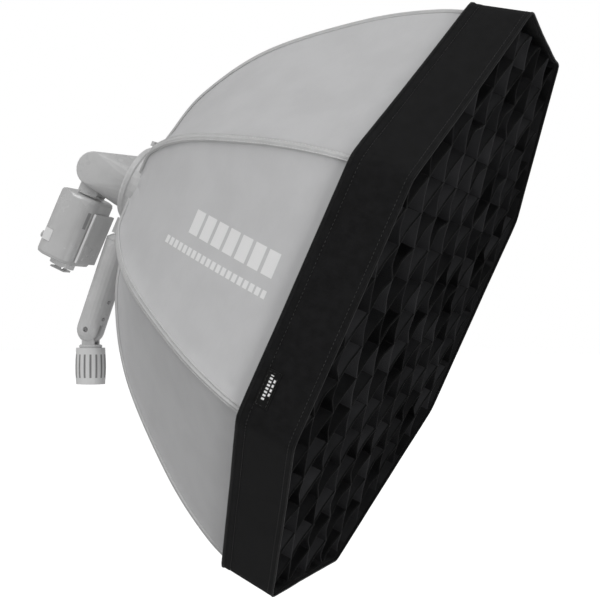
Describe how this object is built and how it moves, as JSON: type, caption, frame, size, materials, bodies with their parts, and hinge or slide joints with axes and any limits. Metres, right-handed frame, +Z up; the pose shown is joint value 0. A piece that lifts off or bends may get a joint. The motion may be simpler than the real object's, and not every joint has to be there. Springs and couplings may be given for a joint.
{
  "type": "octabox",
  "caption": "Folding eight-sided softbox with hinged ribs, diffusers, a black fabric grid, a tilting handle on a stand adapter and a round-headed flash.",
  "frame": {"origin": "centre of the stand adapter's bottom face, where the stand's spigot goes in", "axes": "+Z up, +X over the ground the way the softbox points, +Y across it; the softbox looks 24.57 degrees down at rest"},
  "size_m": [0.589, 0.6468, 0.6111],
  "materials": {
    "adapter_plastic": "satin moulded nylon, light grey",
    "dark_plastic": "dark nylon",
    "bright_steel": "satin steel",
    "hub_plastic": "satin moulded nylon, light grey",
    "rib_steel": "sprung steel rod",
    "shell_fabric": "fine woven polyester, light grey outside, with piped rib channels",
    "diffuser_fabric": "white ripstop diffuser cloth",
    "grid_fabric": "black woven nylon, slightly glossy strips",
    "label": "black satin woven label, blank but for two plain stripes",
    "flash_plastic": "satin moulded polycarbonate, light grey",
    "flash_glass": "frosted glass",
    "screen": "glossy dark display window"
  },
  "bodies": {
    "stand_adapter": {"stand_adapter": "adapter_plastic", "spigot_bush": "dark_plastic", "tilt_pin": "bright_steel"},
    "stand_collar": {"stand_collar": "adapter_plastic"},
    "hub": {"hub_ring": "hub_plastic", "seat_ring": "bright_steel", "retaining_ring": "hub_plastic", "rib_wire": "bright_steel", "handle_tube": "adapter_plastic", "handle_cap": "adapter_plastic", "handle_bracket": "adapter_plastic", "handle_screw_upper": "bright_steel", "handle_screw_lower": "bright_steel"},
    "fold_catch": {"fold_catch": "adapter_plastic"},
    "rib_1": {"rib_1": "rib_steel"},
    "rib_2": {"rib_2": "rib_steel"},
    "rib_3": {"rib_3": "rib_steel"},
    "rib_4": {"rib_4": "rib_steel"},
    "rib_5": {"rib_5": "rib_steel"},
    "rib_6": {"rib_6": "rib_steel"},
    "rib_7": {"rib_7": "rib_steel"},
    "rib_8": {"rib_8": "rib_steel"},
    "gore_1_left": {"gore_1_left": "shell_fabric"},
    "gore_1_right": {"gore_1_right": "shell_fabric"},
    "gore_2_left": {"gore_2_left": "shell_fabric"},
    "gore_2_right": {"gore_2_right": "shell_fabric"},
    "gore_3_left": {"gore_3_left": "shell_fabric"},
    "gore_3_right": {"gore_3_right": "shell_fabric"},
    "gore_4_left": {"gore_4_left": "shell_fabric"},
    "gore_4_right": {"gore_4_right": "shell_fabric"},
    "gore_5_left": {"gore_5_left": "shell_fabric"},
    "gore_5_right": {"gore_5_right": "shell_fabric"},
    "gore_6_left": {"gore_6_left": "shell_fabric"},
    "gore_6_right": {"gore_6_right": "shell_fabric"},
    "gore_7_left": {"gore_7_left": "shell_fabric"},
    "gore_7_right": {"gore_7_right": "shell_fabric"},
    "gore_8_left": {"gore_8_left": "shell_fabric"},
    "gore_8_right": {"gore_8_right": "shell_fabric"},
    "inner_baffle": {"inner_baffle": "diffuser_fabric"},
    "front_diffuser": {"front_diffuser": "diffuser_fabric"},
    "softgrid": {"grid_band": "grid_fabric", "grid_lattice": "grid_fabric", "grid_label": "label"},
    "flash_head": {"flash_head": "flash_plastic", "flash_front_ring": "bright_steel", "flash_lens": "flash_glass"},
    "flash_neck": {"flash_neck": "flash_plastic"},
    "flash_body": {"flash_body": "flash_plastic", "flash_screen": "screen", "flash_port_cover": "flash_plastic", "flash_foot": "bright_steel"},
    "flash_battery": {"flash_battery": "flash_plastic"},
    "flash_dial": {"flash_dial": "flash_plastic"},
    "flash_button": {"flash_button": "flash_plastic"},
    "flash_lock_ring": {"flash_lock_ring": "flash_plastic"}
  },
  "joints": [
    {"name": "collar_twist", "type": "hinge", "parent": "stand_adapter", "child": "stand_collar", "pos_m": [0, 0, 0.02], "axis": [0, 0, 1], "range_deg": [-180, 0]},
    {"name": "tilt", "type": "hinge", "parent": "stand_adapter", "child": "hub", "pos_m": [0, 0, 0.064], "axis": [0, 1, 0], "range_deg": [-100, 25]},
    {"name": "fold", "type": "hinge", "parent": "hub", "child": "rib_1", "pos_m": [0.09588, 0.01684, 0.26168], "axis": [-0.1591, 0.9239, -0.348], "range_deg": [0, 40]},
    {"name": "rib_2_fold", "type": "hinge", "parent": "hub", "child": "rib_2", "pos_m": [0.08598, 0.04065, 0.24003], "axis": [-0.3842, 0.3827, -0.8402], "range_deg": [0, 40]},
    {"name": "rib_3_fold", "type": "hinge", "parent": "hub", "child": "rib_3", "pos_m": [0.07197, 0.04065, 0.2094], "axis": [-0.3842, -0.3827, -0.8402], "range_deg": [0, 40]},
    {"name": "rib_4_fold", "type": "hinge", "parent": "hub", "child": "rib_4", "pos_m": [0.06207, 0.01684, 0.18774], "axis": [-0.1591, -0.9239, -0.348], "range_deg": [0, 40]},
    {"name": "rib_5_fold", "type": "hinge", "parent": "hub", "child": "rib_5", "pos_m": [0.06207, -0.01684, 0.18774], "axis": [0.1591, -0.9239, 0.348], "range_deg": [0, 40]},
    {"name": "rib_6_fold", "type": "hinge", "parent": "hub", "child": "rib_6", "pos_m": [0.07197, -0.04065, 0.2094], "axis": [0.3842, -0.3827, 0.8402], "range_deg": [0, 40]},
    {"name": "rib_7_fold", "type": "hinge", "parent": "hub", "child": "rib_7", "pos_m": [0.08598, -0.04065, 0.24003], "axis": [0.3842, 0.3827, 0.8402], "range_deg": [0, 40]},
    {"name": "rib_8_fold", "type": "hinge", "parent": "hub", "child": "rib_8", "pos_m": [0.09588, -0.01684, 0.26168], "axis": [0.1591, 0.9239, 0.348], "range_deg": [0, 40]},
    {"name": "gore_1_left_tuck", "type": "hinge", "parent": "rib_1", "child": "gore_1_left", "pos_m": [0.09727, 0.00875, 0.26473], "axis": [0.0409, 0.4112, 0.9106], "range_deg": [0, 16.71], "deforming": ["gore_1_left"]},
    {"name": "gore_1_right_tuck", "type": "hinge", "parent": "rib_1", "child": "gore_1_right", "pos_m": [0.09449, 0.02492, 0.25864], "axis": [-0.0588, -0.3069, -0.9499], "range_deg": [0, 16.71], "deforming": ["gore_1_right"]},
    {"name": "gore_2_left_tuck", "type": "hinge", "parent": "rib_2", "child": "gore_2_left", "pos_m": [0.08934, 0.0373, 0.24738], "axis": [-0.1829, 0.8884, 0.4211], "range_deg": [0, 16.71], "deforming": ["gore_2_left"]},
    {"name": "gore_2_right_tuck", "type": "hinge", "parent": "rib_2", "child": "gore_2_right", "pos_m": [0.08261, 0.044, 0.23267], "axis": [0.1396, -0.8452, -0.5159], "range_deg": [0, 16.71], "deforming": ["gore_2_right"]},
    {"name": "gore_3_left_tuck", "type": "hinge", "parent": "rib_3", "child": "gore_3_left", "pos_m": [0.07534, 0.044, 0.21675], "axis": [-0.4815, 0.8452, -0.232], "range_deg": [0, 16.71], "deforming": ["gore_3_left"]},
    {"name": "gore_3_right_tuck", "type": "hinge", "parent": "rib_3", "child": "gore_3_right", "pos_m": [0.06861, 0.0373, 0.20205], "axis": [0.4382, -0.8884, 0.1371], "range_deg": [0, 16.71], "deforming": ["gore_3_right"]},
    {"name": "gore_4_left_tuck", "type": "hinge", "parent": "rib_4", "child": "gore_4_left", "pos_m": [0.06347, 0.02492, 0.19079], "axis": [-0.6799, 0.3069, -0.666], "range_deg": [0, 16.71], "deforming": ["gore_4_left"]},
    {"name": "gore_4_right_tuck", "type": "hinge", "parent": "rib_4", "child": "gore_4_right", "pos_m": [0.06068, 0.00875, 0.1847], "axis": [0.662, -0.4112, 0.6267], "range_deg": [0, 16.71], "deforming": ["gore_4_right"]},
    {"name": "gore_5_left_tuck", "type": "hinge", "parent": "rib_5", "child": "gore_5_left", "pos_m": [0.06068, -0.00875, 0.1847], "axis": [-0.662, -0.4112, -0.6267], "range_deg": [0, 16.71], "deforming": ["gore_5_left"]},
    {"name": "gore_5_right_tuck", "type": "hinge", "parent": "rib_5", "child": "gore_5_right", "pos_m": [0.06347, -0.02492, 0.19079], "axis": [0.6799, 0.3069, 0.666], "range_deg": [0, 16.71], "deforming": ["gore_5_right"]},
    {"name": "gore_6_left_tuck", "type": "hinge", "parent": "rib_6", "child": "gore_6_left", "pos_m": [0.06861, -0.0373, 0.20205], "axis": [-0.4382, -0.8884, -0.1371], "range_deg": [0, 16.71], "deforming": ["gore_6_left"]},
    {"name": "gore_6_right_tuck", "type": "hinge", "parent": "rib_6", "child": "gore_6_right", "pos_m": [0.07534, -0.044, 0.21675], "axis": [0.4815, 0.8452, 0.232], "range_deg": [0, 16.71], "deforming": ["gore_6_right"]},
    {"name": "gore_7_left_tuck", "type": "hinge", "parent": "rib_7", "child": "gore_7_left", "pos_m": [0.08261, -0.044, 0.23267], "axis": [-0.1396, -0.8452, 0.5159], "range_deg": [0, 16.71], "deforming": ["gore_7_left"]},
    {"name": "gore_7_right_tuck", "type": "hinge", "parent": "rib_7", "child": "gore_7_right", "pos_m": [0.08934, -0.0373, 0.24738], "axis": [0.1829, 0.8884, -0.4211], "range_deg": [0, 16.71], "deforming": ["gore_7_right"]},
    {"name": "gore_8_left_tuck", "type": "hinge", "parent": "rib_8", "child": "gore_8_left", "pos_m": [0.09449, -0.02492, 0.25864], "axis": [0.0588, -0.3069, 0.9499], "range_deg": [0, 16.71], "deforming": ["gore_8_left"]},
    {"name": "gore_8_right_tuck", "type": "hinge", "parent": "rib_8", "child": "gore_8_right", "pos_m": [0.09727, -0.00875, 0.26473], "axis": [-0.0409, 0.4112, -0.9106], "range_deg": [0, 16.71], "deforming": ["gore_8_right"]},
    {"name": "baffle_release", "type": "slide", "parent": "hub", "child": "inner_baffle", "axis": [0.9095, 0, -0.4158], "range_m": [0, 0.4907]},
    {"name": "diffuser_release", "type": "slide", "parent": "hub", "child": "front_diffuser", "axis": [0.9095, 0, -0.4158], "range_m": [0, 0.5186]},
    {"name": "grid_pull", "type": "slide", "parent": "front_diffuser", "child": "softgrid", "axis": [0.9095, 0, -0.4158], "range_m": [0, 0.12]},
    {"name": "catch_slide", "type": "slide", "parent": "hub", "child": "fold_catch", "axis": [-0.9095, 0, 0.4158], "range_m": [0, 0.004], "stiffness_N_per_m": 300},
    {"name": "flash_seat", "type": "slide", "parent": "hub", "child": "flash_head", "axis": [-0.9095, 0, 0.4158], "range_m": [0, 0.06]},
    {"name": "flash_tilt", "type": "hinge", "parent": "flash_head", "child": "flash_neck", "pos_m": [0.01324, 0, 0.24927], "axis": [0, 1, 0], "range_deg": [0, 90]},
    {"name": "flash_pan", "type": "hinge", "parent": "flash_neck", "child": "flash_body", "pos_m": [0.00035, 0, 0.22108], "axis": [0.4158, 0, 0.9095], "range_deg": [-180, 180]},
    {"name": "battery_release", "type": "slide", "parent": "flash_body", "child": "flash_battery", "axis": [-0.4158, 0, -0.9095], "range_m": [0, 0.065]},
    {"name": "dial_turn", "type": "hinge", "parent": "flash_body", "child": "flash_dial", "pos_m": [-0.05131, 0, 0.17543], "axis": [-0.9095, 0, 0.4158], "continuous": true},
    {"name": "button_press", "type": "slide", "parent": "flash_body", "child": "flash_button", "axis": [0.9095, 0, -0.4158], "range_m": [0, 0.0012], "stiffness_N_per_m": 300},
    {"name": "lock_ring_turn", "type": "hinge", "parent": "flash_body", "child": "flash_lock_ring", "pos_m": [-0.03583, 0, 0.14196], "axis": [0.4158, 0, 0.9095], "range_deg": [-60, 0]}
  ],
  "couplings": [
    {"joint": "rib_2_fold", "follows": "fold", "ratio": 1},
    {"joint": "rib_3_fold", "follows": "fold", "ratio": 1},
    {"joint": "rib_4_fold", "follows": "fold", "ratio": 1},
    {"joint": "rib_5_fold", "follows": "fold", "ratio": 1},
    {"joint": "rib_6_fold", "follows": "fold", "ratio": 1},
    {"joint": "rib_7_fold", "follows": "fold", "ratio": 1},
    {"joint": "rib_8_fold", "follows": "fold", "ratio": 1},
    {"joint": "gore_1_left_tuck", "follows": "fold", "ratio": 0.41277},
    {"joint": "gore_1_right_tuck", "follows": "fold", "ratio": 0.41277},
    {"joint": "gore_2_left_tuck", "follows": "fold", "ratio": 0.41277},
    {"joint": "gore_2_right_tuck", "follows": "fold", "ratio": 0.41277},
    {"joint": "gore_3_left_tuck", "follows": "fold", "ratio": 0.41277},
    {"joint": "gore_3_right_tuck", "follows": "fold", "ratio": 0.41277},
    {"joint": "gore_4_left_tuck", "follows": "fold", "ratio": 0.41277},
    {"joint": "gore_4_right_tuck", "follows": "fold", "ratio": 0.41277},
    {"joint": "gore_5_left_tuck", "follows": "fold", "ratio": 0.41277},
    {"joint": "gore_5_right_tuck", "follows": "fold", "ratio": 0.41277},
    {"joint": "gore_6_left_tuck", "follows": "fold", "ratio": 0.41277},
    {"joint": "gore_6_right_tuck", "follows": "fold", "ratio": 0.41277},
    {"joint": "gore_7_left_tuck", "follows": "fold", "ratio": 0.41277},
    {"joint": "gore_7_right_tuck", "follows": "fold", "ratio": 0.41277},
    {"joint": "gore_8_left_tuck", "follows": "fold", "ratio": 0.41277},
    {"joint": "gore_8_right_tuck", "follows": "fold", "ratio": 0.41277},
    {"joint": "baffle_release", "follows": "fold", "m_per_rad": 0.7},
    {"joint": "diffuser_release", "follows": "fold", "m_per_rad": 0.74}
  ]
}
